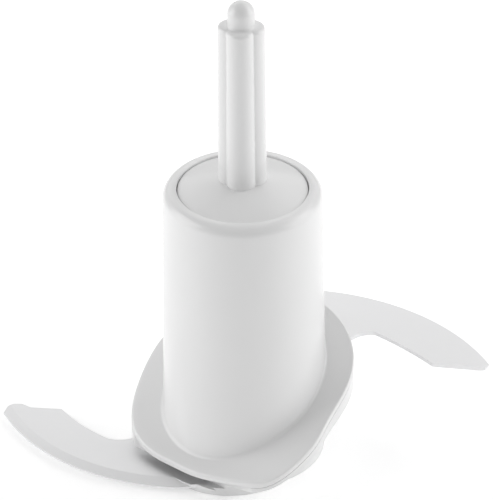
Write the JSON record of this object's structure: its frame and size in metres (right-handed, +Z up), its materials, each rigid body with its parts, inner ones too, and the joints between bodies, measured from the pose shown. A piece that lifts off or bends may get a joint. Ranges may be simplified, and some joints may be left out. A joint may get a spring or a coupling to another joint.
{
  "type": "food processor knife and drive shaft",
  "caption": "Removable food processor drive shaft with a lobed disc stem, and the white hub it carries with curved steel chopping blades at different heights.",
  "frame": {"origin": "on the shaft axis, in the plane the hub's foot and the shaft's barrel stand on", "axes": "+Z up along the shaft towards the stem's tip, +X towards the upper blade, -X towards the lower blade"},
  "size_m": [0.1747, 0.0873, 0.1813],
  "materials": {
    "white_plastic": "glossy white ABS with a faint moulded grain",
    "liner_plastic": "satin pale grey acetal",
    "grey_plastic": "satin grey glass-filled nylon",
    "dark_seal": "matt dark silicone rubber",
    "blade_steel": "fine satin stainless, ground bevel",
    "screw_steel": "plain stainless",
    "socket_steel": "turned steel",
    "bush_brass": "sintered bronze"
  },
  "bodies": {
    "drive_shaft": {"stem": "white_plastic", "shoulder_disc": "white_plastic", "rim_seal": "dark_seal", "shaft_barrel": "grey_plastic", "spindle_core": "grey_plastic", "barrel_seal": "dark_seal", "drive_socket": "socket_steel", "spindle_bush": "bush_brass", "stem_screw": "screw_steel"},
    "knife": {"hub_shell": "white_plastic", "hub_liner": "liner_plastic", "liner_ring": "dark_seal", "brim_gasket": "dark_seal", "lower_body": "white_plastic", "lower_blade": "blade_steel", "lower_blade_seal": "dark_seal", "lower_blade_rivets": "screw_steel", "upper_blade": "blade_steel", "upper_blade_rivets": "screw_steel", "base_screws": "screw_steel"}
  },
  "joints": [
    {"name": "knife_lift", "type": "slide", "parent": "drive_shaft", "child": "knife", "axis": [0, 0, 1], "range_m": [0, 0.19]}
  ]
}
